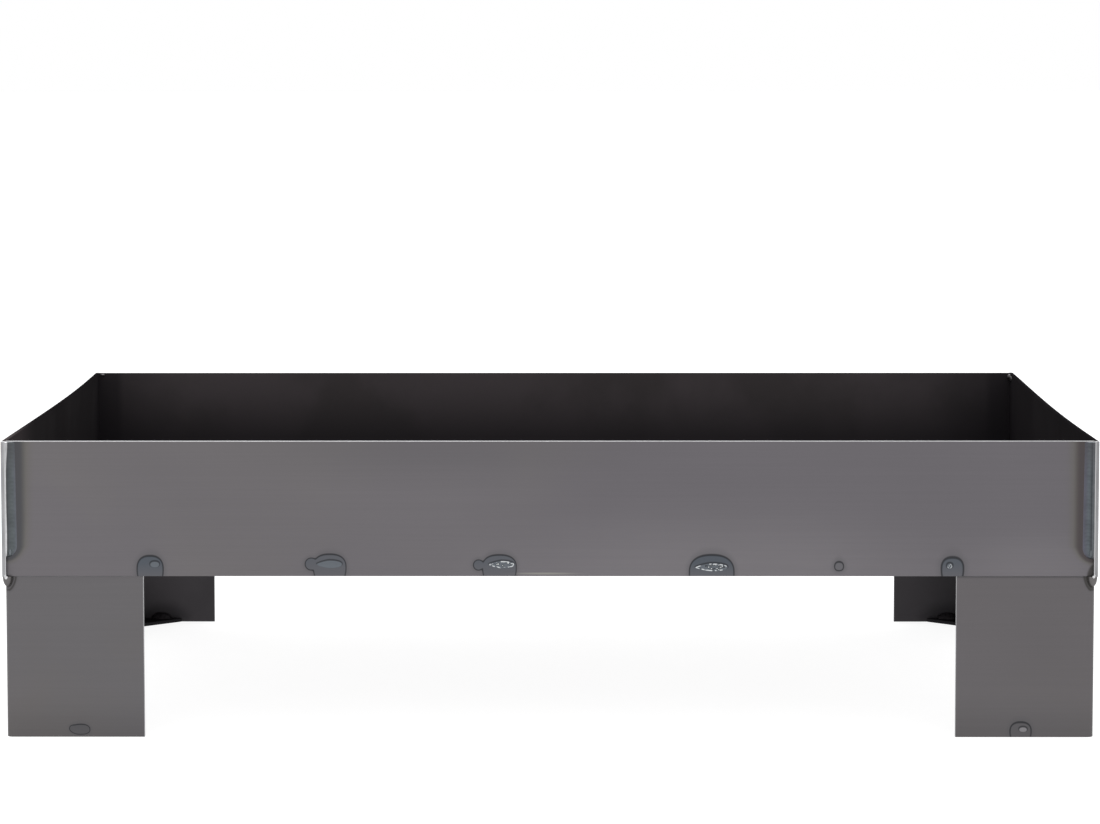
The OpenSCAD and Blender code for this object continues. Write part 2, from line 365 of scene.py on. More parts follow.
CUT_EDGE = finish_material(material, colour, stain, 0.32, 0.42, lines, 0.3, 0.08 * MM)

# %% [markdown]
# Weld metal is steel that has melted and set, smooth between its ripples and blue-grey from the heat.
# Across a corner bead the colours lie in bands: a lip on the cut edge painted nearly white, partly paler
# set metal and partly a painted highlight, a thin dark undercut, then steel blue that turns purple
# towards the panel, more so on the right. The mesh carries how far across the bead a point lies, and a
# colour ramp makes the bands, which fade to grey at the rim, where the bead was started cold. The lumps
# on the legs were brushed and stayed grey, and the hidden welds are black with smoke or brown with oil.

# %% Weld metal
COLD_START = "#4c4b4e"


def weld_metal(name, across, cold=0.0):
    """Set weld metal, with (place, colour) pairs across the bead and greyer by cold at the rim."""
    material, tree, _, (_, _, z), (stain, grain) = start_material(
        name, [(0.007, 3.0), (0.0012, 2.0)], {"Metallic": 0.8}
    )
    ramp = add(tree, "ShaderNodeValToRGB", {"Fac": "across"})
    bands = ramp.color_ramp.elements
    while len(bands) < len(across):
        bands.new(0.5)
    for band, (position, shade) in zip(bands, across):
        band.position = position
        band.color = linear(shade)
    colour = layered(tree, ramp.outputs[0], [
        (fade(tree, z, RIM - 26 * MM, RIM - 8 * MM, 0.0, cold), COLD_START),
        (1.0, fade(tree, stain, 0.3, 0.7, 0.86, 1.1), "MULTIPLY"),
    ])
    return finish_material(material, colour, stain, 0.28, 0.40, grain, 0.3, 0.1 * MM)


# The first two bands are the lip, painted nearly white, partly a painted highlight.
BEAD_METAL = weld_metal("blue_grey_weld", [
    (0.00, "#d2d2d4"), (0.04, "#bcbcbe"), (0.085, "#393b3c"), (0.20, "#484c4f"),
    (0.45, "#505557"), (0.75, "#565b5f"), (0.93, "#5d6067"), (1.00, "#5a5b60"),
], 0.4)
# The first band is the lip, lighter, partly a painted highlight.
PURPLE_METAL = weld_metal("purple_grey_weld", [
    (0.00, "#7c7d7f"), (0.04, "#4e5154"), (0.10, "#55585c"), (0.14, "#505458"), (0.20, "#35383c"),
    (0.30, "#494e52"), (0.45, "#52585d"), (0.75, "#51535b"), (0.93, "#54545f"), (1.00, "#5d5c66"),
], 0.45)
LUMP_METAL = weld_metal("bare_grey_weld", [(0.0, "#5a5858"), (1.0, "#625f5f")])
RUN_METALS = {
    -1: weld_metal("blue_grey_drop", [(0.0, "#5c6165"), (1.0, "#62676b")]),
    1: weld_metal("smoked_grey_drop", [(0.0, "#484647"), (1.0, "#504e4f")]),
}
# The drop's near-white is a painted highlight over set metal.
DROP_METAL = weld_metal("weld_drop_painted_highlight", [(0.0, "#c2c2c4"), (1.0, "#cccccd")])
SOOTY_METAL = weld_metal("sooty_weld", [(0.0, "#1b1a1c"), (1.0, "#242225")])
OILED_METAL = weld_metal("oiled_weld", [(0.0, "#3c393c"), (1.0, "#444144")])

# %% [markdown]
# A tack that holds the tray's floor prints a rounded hump on the panel outside, some with a
# smaller lobe where the arc was started. Each shape has a plain formula for the distance to it,
# and where two meet, a smooth minimum joins them by a soft neck.

# %% Distances to ovals
def oval(x, z, half_x, half_z, power=2.0):
    """About how far (x, z) lies outside an oval round the origin, less than 0 inside."""
    u, w = abs(x) / half_x, abs(z) / half_z
    size = (u ** power + w ** power) ** (1 / power)
    if size < 1e-6:
        return -min(half_x, half_z)
    slope = math.hypot(u ** (power - 1) / half_x, w ** (power - 1) / half_z) * size ** (1 - power)
    return (size - 1) / slope


def clamped(value, low=0.0, high=1.0):
    """The value, held between low and high."""
    return max(low, min(high, value))


def necked(a, b, neck=1.5):
    """The distance to two shapes that a soft neck joins."""
    share = clamped(0.5 + 0.5 * (b - a) / neck)
    return b + (a - b) * share - neck * share * (1 - share)


# %% [markdown]
# A mark is a small record of sizes in millimetres: its place along the sheet, the hump's half width, the
# height of its widest line, its rise above and sink below that line, how blue it is and how heavy its
# outline, a lobe (offset, height, radius) and a puddle (offset, height, half length, half height, and
# from 0 to 1 how strong the painted glints on it are). The outline is heaviest over the crown, and the
# blue is palest at the lower edge.

# %% One heat mark
Mark = namedtuple(
    "Mark", "along half_width widest rise sink cast weight lobe puddle", defaults=(1.0, None, None)
)
HUMP_POWER, POINTED_POWER, ROUNDED_POWER = 2.4, 1.35, 2.2
LINE_WEIGHT, CROWN_WEIGHT = 0.85, 0.6
LOW_CAST, FULL_CAST_HEIGHT = 0.45, 10
BROW_RIM, BROW_UP = 0.55, 0.6
MARK_REACH = 16


def heat_at(marks, along, height):
    """What a point of the sheet carries, with along and height in millimetres."""
    carries = dict(UNMARKED)
    for m in marks:
        x, z = along - m.along, height - m.widest
        if abs(x) > m.half_width + MARK_REACH or z > m.rise + MARK_REACH:
            continue
        outline = oval(x, z, m.half_width, m.rise if z > 0 else m.sink, HUMP_POWER)
        if m.lobe:
            offset, up, radius = m.lobe
            outline = necked(outline, math.hypot(x - offset, height - up) - radius)
        if outline < 1.0:
            full = clamped((height - 1) / (FULL_CAST_HEIGHT - 1))
            carries["cast"] = m.cast * (LOW_CAST + (1 - LOW_CAST) * full)
        crown = max(0.0, 1 - (x / m.half_width) ** 2) if z > 0 else 0.0
        outline /= m.weight * (LINE_WEIGHT + CROWN_WEIGHT * crown)
        carries["tint"] = min(carries["tint"], outline)
        if m.puddle:
            offset, up, half_length, half_height, ripple = m.puddle
            pointed = x < offset and half_length > 2 * half_height
            power, rim = POINTED_POWER if pointed else ROUNDED_POWER, BROW_RIM * m.weight
            x, z = x - offset, height - up
            puddle = oval(x, z, half_length, half_height, power)
            brow = oval(x, z - BROW_UP, half_length + rim, half_height + rim, power)
            carries["puddle"] = min(carries["puddle"], puddle)
            carries["brow"] = min(carries["brow"], brow)
            if puddle < 0.6:
                carries["ripple"] = max(carries["ripple"], ripple)
    return carries


# %% [markdown]
# The marks lie where the welds are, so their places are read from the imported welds: a row's
# vertices are sorted along it, and a jump of more than 5 mm starts the next tack. On the front
# panel their sizes follow the photograph. The other sheets do not show there, and get marks of
# the same family from a seeded random draw.

# %% Places of the tacks and their marks
# Each wall has the axis that its tacks run along and its side of the tray.
WALLS = {"front": (0, -1), "rear": (0, 1), "left": (1, -1), "right": (1, 1)}
FRONT_SHAPES = [
    (1.2, 9.6, 5.5, 9.6, 14.0, 1.0, 1.2, None, (3.4, 8.6, 3.4, 2.2, 0)),
    (0.0, 12.0, 7.0, 9.3, 14.0, 0.6, 1.0, (-13.6, 9.0, 4.5), (-0.4, 8.8, 9.5, 2.9, 0)),
    (0.0, 12.4, 7.0, 8.8, 15.0, 0.7, 1.0, (-15.4, 8.3, 3.8), (1.4, 8.6, 9.5, 2.7, 1)),
    (0.2, 16.4, 3.0, 12.8, 30.0, 1.0, 1.2, None, (-0.2, 6.6, 12.0, 2.9, 1)),
    (0.9, 8.1, 6.0, 8.0, 13.0, 0.9, 1.6, None, (-2.0, 7.5, 2.0, 1.9, 0.45)),
]
ARC_RING = Mark(213, 3.3, 7.4, 3.3, 3.3, 0.2, 1.1)


def tack_places(node, axis):
    """The middles of a node's tacks along an axis, in millimetres."""
    spots = sorted({round(vert.co[axis] / MM, 3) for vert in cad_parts[node].data.vertices})
    groups = [[spots[0]]]
    for spot in spots[1:]:
        if spot - groups[-1][-1] > 5:
            groups.append([])
        groups[-1].append(spot)
    return [(group[0] + group[-1]) / 2 for group in groups]


def varied_marks(places, seed):
    """Heat marks at these places, each a little different."""
    draw = random.Random(seed)
    marks = []
    for place in places:
        half_width = draw.uniform(9.5, 16)
        lobe = (-half_width - 2.5, draw.uniform(7, 9), draw.uniform(3.4, 4.6))
        puddle = (draw.uniform(-1, 2), draw.uniform(7.5, 8.7), 0.72 * half_width, draw.uniform(2.4, 3.6))
        marks.append(Mark(
            place, half_width, 6.0, draw.uniform(8, 10), 15.0, draw.uniform(0.4, 1.0), 1.2,
            lobe if draw.random() < 0.5 else None, puddle + (float(draw.random() < 0.4),),
        ))
    return marks


TACKS = {wall: tack_places(f"base_tacks_{wall}", axis) for wall, (axis, _) in WALLS.items()}
MARKS = {
    "front": [Mark(place + s[0], *s[1:]) for place, s in zip(TACKS["front"], FRONT_SHAPES)],
    "rear": varied_marks(TACKS["rear"], 11),
    "left": varied_marks(TACKS["left"], 5),
    "right": varied_marks(TACKS["right"], 8),
}
MARKS["front"].append(ARC_RING)
print("tacks along the front at", TACKS["front"])

# %% [markdown]
# Flat sheet is best built as a grid, whose lines may lie at any distances: far apart in general,
# and 0.8 mm apart where marks need points close together. A list of the distances is made first,
# one operator makes the grid, and each point is then carried to its real place.

# %% Grids with lines where they are needed
COARSE, FINE = 20 * MM, 0.8 * MM


def grid_lines(low, high, spots=()):
    """Distances from low to high, coarse in general and fine within each (from, to) spot."""
    stretches = sorted((max(low, a), min(high, b)) for a, b in spots if a < high and b > low)
    lines, reached = [low], low
    for start, end in stretches + [(high, high)]:
        for stop, step in ((start, COARSE), (end, FINE)):
            if stop - reached > 1e-7:
                count = max(1, round((stop - reached) / step))
                lines.extend(reached + (stop - reached) * i / count for i in range(1, count + 1))
                reached = stop
    return lines


def shaped_grid(bm, across, up, place):
    """Adds a grid with lines at these distances, each point carried to place(a, b)."""
    columns, rows = len(across) - 1, len(up) - 1
    made = bmesh.ops.create_grid(bm, x_segments=columns, y_segments=rows, size=0.5)
    for vert in made["verts"]:
        column, row = round((vert.co.x + 0.5) * columns), round((vert.co.y + 0.5) * rows)
        vert.co = place(across[column], up[row])
    return made["verts"]


# %% [markdown]
# Solidify gives a sheet its thickness: it sets a second copy of the grid behind the first and closes the
# rim. The rim is then bevelled by a third of a millimetre, because no real edge is perfectly sharp and
# the bevel is what shines. Where it butts against another sheet it stays sharp, so that no dark gap
# opens. Each face takes its finish by where it looks: outwards, inwards or along the sheet, which makes
# it a cut edge. A top edge black with soot and painted shade is a fourth finish.

# %% Sheets from grids
EDGE_EASE = 0.35 * MM
PUDDLE_RISE, PUDDLE_SLOPE = 0.35 * MM, 1.6
CORNER_ANGLE, SMOOTH_ANGLE = math.radians(60), math.radians(12)
OUTSIDE, INSIDE, EDGE, RIM_TOP = 0, 1, 2, 3
SQUARELY = 0.98


def ease(bm, edges):
    """Takes the sharpness off these edges."""
    bmesh.ops.bevel(
        bm, geom=edges, offset=EDGE_EASE, segments=2, profile=0.5, affect="EDGES", material=-1
    )


def thicken(bm, outward, butts=lambda edge: False):
    """Gives the grid its thickness, eases all edges but those that butt, and sorts its faces."""
    bm.normal_update()
    first = bm.faces[:][0]
    if first.normal.dot(outward(first.calc_center_median())) < 0:
        bmesh.ops.reverse_faces(bm, faces=bm.faces[:])
    bmesh.ops.solidify(bm, geom=bm.faces[:], thickness=SHEET)
    bmesh.ops.recalc_face_normals(bm, faces=bm.faces[:])
    bm.normal_update()
    ease(bm, [e for e in bm.edges if e.calc_face_angle(0) > CORNER_ANGLE and not butts(e)])
    bm.normal_update()
    for face in bm.faces:
        facing = face.normal.dot(outward(face.calc_center_median()))
        eased_below = face.normal.z < -0.1 and facing > 0.1
        if facing > SQUARELY or eased_below:
            face.material_index = OUTSIDE
        else:
            face.material_index = INSIDE if facing < -SQUARELY else EDGE


def blacken_top(bm, reach):
    """Gives a wall's top edge, as far as this to the front and back, the rim's black of soot and painted
    shade.
    """
    for face in bm.faces:
        if face.normal.z > 0.2 and abs(face.calc_center_median().y) < reach:
            face.material_index = RIM_TOP


def raise_puddles(bm, carries):
    """Lifts the set puddles off the sheet, because molten steel swells before it sets."""
    for vert in bm.verts:
        inside = -carries(vert.co).get("puddle", FAR)
        if inside > 0:
            vert.co += vert.normal * PUDDLE_RISE * min(1.0, inside / PUDDLE_SLOPE)


def as_object(bm, name, materials):
    """The finished mesh as an object in the scene."""
    mesh = bpy.data.meshes.new(name)
    bm.to_mesh(mesh)
    bm.free()
    for material in materials:
        mesh.materials.append(material)
    piece = bpy.data.objects.new(name, mesh)
    bpy.context.scene.collection.objects.link(piece)
    return piece


def finish_piece(bm, node, form, materials, carries=lambda co: {}):
    """The mesh as an object that stands for its CAD node, carrying its distances."""
    for face in bm.faces:
        face.smooth = True
    for edge in bm.edges:
        edge.smooth = edge.calc_face_angle(0) < SMOOTH_ANGLE
    layers = {key: bm.verts.layers.float.new(key) for key in UNMARKED}
    for vert in bm.verts:
        values = {**UNMARKED, **carries(vert.co)}
        for key, layer in layers.items():
            vert[layer] = values[key]
    piece = as_object(bm, f"{node}_{form}", materials)
    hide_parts(node)
    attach(piece, "root")
    print(f"{piece.name}: {sum(len(p.vertices) - 2 for p in piece.data.polygons)} triangles")


# %% [markdown]
# Each wall's grid is close at both ends, along the lower edge and at the marks. Beside each corner bead
# the long panels have darkened in a strip a few millimetres wide, so each point also carries its
# distance to the bead's toe. Under the right-hand bead the steel is darker in one more oval, down in the
# corner.

# %% Front and rear panels
BEAD_SPREAD = {-1: (6.9 * MM, 7.9 * MM), 1: (7.2 * MM, 8.2 * MM)}
BEAD_FOOT = {-1: bead_low.z + 3.0 * MM, 1: bead_low.z + 1.4 * MM}
BEAD_TAIL, END_FADE, BAND_WIDENING = 9 * MM, 0.8, 0.2
CORNER_DARK_OVAL = (4.4, 8.5)
MARK_HEIGHT = 22 * MM


def wall_grid(half_length, end_reach, marks, place):
    """A wall as a grid, each point carried to place(along, height)."""
    marked = [((m.along - m.half_width - 10) * MM, (m.along + m.half_width + 5) * MM) for m in marks]
    ends = [(-half_length, end_reach - half_length), (half_length - end_reach, half_length)]
    bm = bmesh.new()
    shaped_grid(
        bm, grid_lines(-half_length, half_length, marked + ends),
        grid_lines(TRAY_BOTTOM, RIM, [(TRAY_BOTTOM, TRAY_BOTTOM + MARK_HEIGHT)]), place,
    )
    return bm


def bead_width(side, height):
    """How far the left (-1) or right (1) beads have flowed over the panel at this height."""
    narrow, wide = BEAD_SPREAD[side]
    return narrow + (wide - narrow) * (RIM - height) / (RIM - BEAD_FOOT[side])


def toe_distance(co):
    """Distance in millimetres from the toe of the nearest corner bead, on a long panel."""
    side = -1 if co.x < 0 else 1
    width = bead_width(side, max(co.z, BEAD_FOOT[side]))
    aside, below = INNER_X - abs(co.x), BEAD_FOOT[side] + BEAD_TAIL - co.z
    if below <= 0:
        widening = 1 - BAND_WIDENING * (co.z - TRAY_BOTTOM) / (RIM - TRAY_BOTTOM)
        return (aside - width) * widening / MM
    beyond = math.hypot(aside, below * width / BEAD_TAIL) - width
    return beyond * (1 + END_FADE * below / BEAD_TAIL) / MM


def long_panel(wall, side):
    """Front (-1) or rear (1) panel, between the side panels."""
    bm = wall_grid(INNER_X, 16 * MM, MARKS[wall], lambda a, b: Vector((a, side * OUTER_Y, b)))

    def butts(edge):
        """Whether this edge stands upright against a side panel."""
        a, b = (vert.co for vert in edge.verts)
        return min(abs(a.x), abs(b.x)) > INNER_X - 0.1 * MM and abs(a.z - b.z) > abs(a.y - b.y)

    def carries(co):
        if side * co.y < OUTER_Y - EDGE_EASE:
            return {}
        above = (co.z - TRAY_BOTTOM) / MM
        values = heat_at(MARKS[wall], co.x / MM, above)
        values["band"] = toe_distance(co)
        # Darker in an oval under the right-hand bead.
        if co.x > 0:
            values["scorch"] = oval((INNER_X - co.x) / MM, above, *CORNER_DARK_OVAL, 1.6)
        return values

    thicken(bm, lambda co: Vector((0, side, 0)), butts)
    raise_puddles(bm, carries)
    materials = [PANEL_STEEL, TRAY_BLACK, CUT_EDGE]
    if side > 0:
        blacken_top(bm, PANEL_END_Y)
        materials.append(RIM_BLACK)
    finish_piece(bm, f"{wall}_panel", "sheet", materials, carries)


long_panel("front", -1)
long_panel("rear", 1)

# %% [markdown]
# The side panels cover the ends of the long ones and stand a few millimetres past them, so their cut
# edges show as two bright upright lines. The corner beads have melted the inner part of those, down to a
# small drop above the leg, and strip and drop are painted bright, partly paler set metal and partly a
# painted highlight. Both are again distances. Welding shrinks a corner as it cools, and each side
# panel's free top edge has bowed in by about 3 mm, more towards one end.

# %% Side panels
# How wide the molten strip is, which is painted bright, partly a painted highlight.
MELT_WIDTH = {-1: 0.5, 1: 0.6}
# Each drop has a place beside the inner face, a height over the lower edge and a radius.
DROPS = {-1: (0.1, 0.4, 1.3), 1: (0.0, 1.0, 1.1)}
BOW = 2.9 * MM
BOW_LEAN = {-1: 0.5, 1: -0.5}


def bowed_in(side, along, height):
    """How far inwards the side panel has bowed at this place."""
    t = clamped(along / INNER_Y, -1.0)
    rise = max(0.0, (height - TRAY_FLOOR) / (RIM - TRAY_FLOOR))
    return BOW * (1 - t * t) ** 1.2 * (1 + BOW_LEAN[side] * t) * rise ** 1.3


def side_panel(wall, side):
    """Left (-1) or right (1) panel."""
    bm = wall_grid(
        PANEL_END_Y, 8 * MM, MARKS[wall],
        lambda a, b: Vector((side * (OUTER_X - bowed_in(side, a, b)), a, b)),
    )
    thicken(bm, lambda co: Vector((side, 0, 0)))
    blacken_top(bm, OUTER_Y)
    for face in bm.faces:
        if face.material_index == INSIDE and abs(face.calc_center_median().y) > OUTER_Y:
            face.material_index = OUTSIDE
    aside, up, radius = DROPS[side]

    def carries(co):
        values, above = {}, (co.z - TRAY_BOTTOM) / MM
        if abs(co.x) > OUTER_X - bowed_in(side, co.y, co.z) - EDGE_EASE:
            values = heat_at(MARKS[wall], co.y / MM, above)
        if abs(co.y) > OUTER_Y:
            across = (abs(co.x) - INNER_X) / MM
            values["melt"] = across - MELT_WIDTH[side]
            values["drop"] = math.hypot(across - aside, above - up) - radius
        return values

    materials = [PANEL_STEEL, END_BLACK, CUT_EDGE, RIM_BLACK]
    finish_piece(bm, f"{wall}_side_panel", "sheet", materials, carries)


side_panel("left", -1)
side_panel("right", 1)

# %% [markdown]
# The base plate is one more flat sheet. Its top has carried the fire and is black with soot and painted
# shade, its underside is plain steel, and its edges are hidden between the walls.

# %% Base plate
bm = bmesh.new()
shaped_grid(
    bm, grid_lines(-INNER_X, INNER_X), grid_lines(-INNER_Y, INNER_Y),
    lambda a, b: Vector((a, b, TRAY_FLOOR)),
)
thicken(bm, lambda co: Vector((0, 0, 1)))
finish_piece(bm, "base_plate", "sheet", [TRAY_BLACK, LEG_STEEL, CUT_EDGE])

# %% [markdown]
# A leg is a flat blank folded once, and is built that way: a grid is laid out on the blank, which
# is then rolled round the bend's outer radius. Measuring along the blank keeps the flanges their
# true width, and close lines keep the fold round.

# %% Places on a folded leg
BEND_OUTER = 4.5 * MM
BEND_LENGTH = BEND_OUTER * math.pi / 2
FLAT = LEG_FLANGE - BEND_OUTER


def folded(along, height, corner):
    """Where a point of the blank lies, with along measured from the middle of the bend."""
    angle = clamped(along / BEND_OUTER + math.pi / 4, 0, math.pi / 2)
    u = BEND_OUTER * (1 - math.sin(math.pi / 2 - angle))
    v = BEND_OUTER * (1 - math.sin(angle))
    u += max(0.0, along - BEND_LENGTH / 2)
    v += max(0.0, -along - BEND_LENGTH / 2)
    return Vector((corner[0] * (LEG_X - u), corner[1] * (LEG_Y - v), height))


def leg_outward(co, corner):
    """The direction that looks out of the leg's sheet at a point of it."""
    u, v = LEG_X - corner[0] * co.x, LEG_Y - corner[1] * co.y
    out_x, out_y = max(0.0, BEND_OUTER - u), max(0.0, BEND_OUTER - v)
    return Vector((corner[0] * out_x, corner[1] * out_y, 0)).normalized()


# %% [markdown]
# The foot plates' tacks print small marks near the bottom of each flange, and the lump at the top of the
# corner has left two thin arcs of heat colour. Inside, the steel is darker round the same tacks.

# %% Legs
LEG_SHAPES = {
    ("front_left", "long"): (-0.2, 6.8, 5.4, 4.0, 3.5, 0.75, 0.75, (-6.0, 6.3, 2.4)),
    ("front_right", "long"): (-1.1, 7.8, 4.6, 6.6, 9.0, 0.2, 1.2, None, (-1.8, 5.6, 2.9, 1.8, 0)),
}
tack_distance = tack_places("foot_tacks_front_right", 0)
print("tacks of a foot plate at X", tack_distance)
FOOT_TACK = LEG_X / MM - tack_distance[0]
LUMP_CENTRE = Vector((LEG_X - 2.0 * MM, LEG_Y + 1.5 * MM, TRAY_BOTTOM - 0.5 * MM))
LUMP_SIZE = Vector((3.5, 3.3, 7.2)) * MM
leg_draw = random.Random(3)


def leg(name, corner):
    """One folded leg."""
    half_blank, lost = FLAT + BEND_LENGTH / 2, BEND_OUTER - BEND_LENGTH / 2
    near, far = (FOOT_TACK - 12) * MM - lost, (FOOT_TACK + 12) * MM - lost
    bm = bmesh.new()
    shaped_grid(
        bm,
        grid_lines(-half_blank, half_blank, [(-far, -near), (-12 * MM, 12 * MM), (near, far)]),
        grid_lines(0, TRAY_BOTTOM, [(0, 16 * MM), (TRAY_BOTTOM - 14 * MM, TRAY_BOTTOM)]),
        lambda a, b: folded(a, b, corner),
    )
    thicken(bm, lambda co: leg_outward(co, corner))
    marks = {}
    for flange in ("long", "short"):
        shape = LEG_SHAPES.get((name, flange))
        if shape is None:
            half_width, rise = leg_draw.uniform(6.5, 8.5), leg_draw.uniform(4, 6.5)
            cast = leg_draw.uniform(0.3, 0.8)
            shape = (0.0, half_width, 5.0, rise, 7.0, cast, 1.0, None, (0.5, 6.0, 3.2, 2.0, 0))
        marks[flange] = [Mark(FOOT_TACK + shape[0], *shape[1:])]

    def carries(co):
        u, v = (LEG_X - abs(co.x)) / MM, (LEG_Y - abs(co.y)) / MM
        flange, aside = ("long", u) if u > v else ("short", v)
        if min(u, v) > SHEET / MM / 2:
            return {"scorch": oval(aside - FOOT_TACK - 5, co.z / MM - 4, 18, 9.5)}
        values = heat_at(marks[flange], aside, co.z / MM)
        below = (LUMP_CENTRE.z - co.z) / MM
        values["lump"] = oval(aside - 2.0, below, LUMP_SIZE.x / MM, LUMP_SIZE.z / MM, 1.5)
        # On the right legs only: the dark line at the top, partly painted shade, and darker steel round
        # the lump.
        if co.x > 0:
            values.update(gap=(TRAY_BOTTOM - co.z) / MM, scorch=values["lump"] - 1.8)
        return values

    raise_puddles(bm, carries)
    finish_piece(bm, f"leg_{name}", "sheet", [LEG_STEEL, LEG_INSIDE_SHADE, CUT_EDGE], carries)


for name, corner in CORNERS.items():
    leg(name, corner)

# %% [markdown]
# A foot plate is a right triangle with its square corner cut off to clear the leg's bend. It
# starts from four points, is extruded by the sheet's thickness, and has its edges eased.

# %% Foot plates
CORNER_CLIP = 3.0 * MM
PLATE_OUTLINE = [(CORNER_CLIP, 0), (FOOT_EDGE, 0), (0, FOOT_EDGE), (0, CORNER_CLIP)]

for name, (side_x, side_y) in CORNERS.items():
    bm = bmesh.new()
    start_x, start_y = LEG_X - SHEET, LEG_Y - SHEET
    spots = [(side_x * (start_x - u), side_y * (start_y - v), 0) for u, v in PLATE_OUTLINE]
    first = bm.faces.new([bm.verts.new(spot) for spot in spots])
    lifted = bmesh.ops.extrude_face_region(bm, geom=[first])
    raised = [part for part in lifted["geom"] if isinstance(part, bmesh.types.BMVert)]
    bmesh.ops.translate(bm, vec=(0, 0, SHEET), verts=raised)
    bmesh.ops.recalc_face_normals(bm, faces=bm.faces[:])
    ease(bm, bm.edges[:])
    finish_piece(bm, f"foot_plate_{name}", "sheet", [FOOT_PLATE_SHADE])

# %% [markdown]
# A fillet weld is a ridge of set metal in the corner between two sheets. It is built as a grid
# rolled round the seam: one direction runs along the weld, the other from its root over the crown
# and back. The crown lies between a flat slope and a full quarter round. The ripples are
# crescents, because the molten pool cools from its sides, so each ripple's place shifts with how
# far across it is.

# %% A weld bead
ROOT_BEFORE, ROOT_AFTER = -1, 2
CROWN_STEPS = 12
RIPPLE_BOW = 0.7
CROWN = 0.4
CRATER_DEPTH, CRATER_REACH = 0.12, 5 * MM


def ended(distance, tail):
    """Share of its full size that a bead has at this distance from an end."""
    return math.sqrt(1 - clamped(1 - distance / tail) ** 2)


def add_bead(bm, length, reach, tails, pitch, depth, carry, narrowing=0.0, crater=0.0):
    """A bead in the corner between X = 0 and Y = 0, running up Z, moved by the matrix carry."""
    def place(along, across):
        size = ended(along, tails[0]) * ended(length - along, tails[1])
        if not 0 <= across <= 1 or size <= 0.03:
            return carry @ Vector((0, 0, along))
        phase = along / pitch + RIPPLE_BOW * (2 * across - 1) ** 2
        groove = depth + crater * math.exp(-along / CRATER_REACH)
        size *= 1 - groove * (1 - abs(math.sin(math.pi * phase))) * math.sin(math.pi * across)
        angle = across * math.pi / 2
        out = CROWN * math.sin(angle) + (1 - CROWN) * across
        up = CROWN * math.cos(angle) + (1 - CROWN) * (1 - across)
        width = reach[0] * (1 - narrowing * along / length)
        return carry @ Vector((width * size * out, reach[1] * size * up, along))

    steps = max(6, round(length / (pitch / 8)))
    verts = shaped_grid(
        bm,
        [length * i / steps for i in range(steps + 1)],
        [ROOT_BEFORE] + [i / CROWN_STEPS for i in range(CROWN_STEPS + 1)] + [ROOT_AFTER],
        place,
    )
    bmesh.ops.remove_doubles(bm, verts=verts, dist=0.001 * MM)


def close_welds(bm):
    """Fills the beads' ends and turns every face outwards."""
    bmesh.ops.holes_fill(bm, edges=[e for e in bm.edges if e.is_boundary])
    bmesh.ops.recalc_face_normals(bm, faces=bm.faces[:])


def turned(x_axis, y_axis, z_axis, place):
    """The matrix that carries X, Y and Z to these directions, starting at place."""
    return Matrix([*zip(x_axis, y_axis, z_axis, place), (0, 0, 0, 1)])


# %% [markdown]
# The corner beads run from the rim to a little above the lower edge, where each ends in the
# shallow crater that a weld leaves when the arc stops. At the rim each has run through the joint
# and set as a grey drop inside the tray, and the front ones have a drop in the crater too. A drop
# is a ball squashed to its own size.

# %% Corner beads
LEDGE = PANEL_END_Y - OUTER_Y
# Each drop has a place, in and down from the tray's inner corner, and three half sizes.
RUN_THROUGH = {
    "front_left": [((2.0, 0.0, 1.6), (2.4, 1.6, 1.4)), ((2.9, -5.3, 82.0), (1.3, 0.9, 2.4))],
    "front_right": [((1.6, 0.0, 2.2), (2.0, 1.6, 2.0)), ((2.2, -5.9, 82.8), (0.9, 0.8, 2.6))],
    "rear_left": [((3.4, 0.2, 1.5), (2.1, 1.5, 1.1))],
    "rear_right": [((0.2, 1.6, 3.1), (2.4, 2.2, 2.5)), ((-0.2, 8.0, 4.2), (1.3, 10.0, 2.6))],
}
# Each widening of a lip has a height, the most that it adds and how far it spreads. It widens the lip's
# light band, partly a painted highlight.
LIPS = {-1: [(RIM, 0.15, 14 * MM), (152 * MM, 0.025, 14 * MM)], 1: []}


def corner_weld(name, side_x, side_y):
    """The bead up the ledge between a side panel's end and a long panel."""
    bm = bmesh.new()
    foot = BEAD_FOOT[side_x]
    narrow, wide = BEAD_SPREAD[side_x]
    place = (side_x * INNER_X, side_y * OUTER_Y, foot)
    add_bead(
        bm, RIM - foot, (wide, LEDGE), (BEAD_TAIL, 1.2 * MM), 3 * MM, 0.035,
        turned((-side_x, 0, 0), (0, side_y, 0), (0, 0, 1), place), 1 - narrow / wide, CRATER_DEPTH,
    )
    close_welds(bm)
    for (aside, inward, below), size in RUN_THROUGH[name]:
        x, y = INNER_X - aside * MM, INNER_Y - inward * MM
        centre = Vector((side_x * x, side_y * y, RIM - below * MM))
        squash = Matrix.Translation(centre) @ Matrix.Diagonal((*size, 1.0))
        drop = bmesh.ops.create_icosphere(bm, subdivisions=3, radius=MM, matrix=squash)
        for face in {face for vert in drop["verts"] for face in vert.link_faces}:
            face.material_index = 1

    def carries(co):
        u, v = (INNER_X - abs(co.x)) / bead_width(side_x, co.z), (abs(co.y) - OUTER_Y) / LEDGE
        lips = (most * math.exp(-((co.z - z) / spread) ** 2) for z, most, spread in LIPS[side_x])
        return {"across": clamped(math.atan2(u, v) / (math.pi / 2) - sum(lips))}

    metals = [BEAD_METAL if side_x < 0 else PURPLE_METAL, RUN_METALS[side_y]]
    finish_piece(bm, f"corner_weld_{name}", "bead", metals, carries)


for name, corner in CORNERS.items():
    corner_weld(name, *corner)

# %% [markdown]
# The tacks are the same bead cut short and tapered to both ends. Those in the tray lie on the
# base plate against each wall, and those under it inside the legs. The lumps outside the legs
# share their mesh and are found by place.

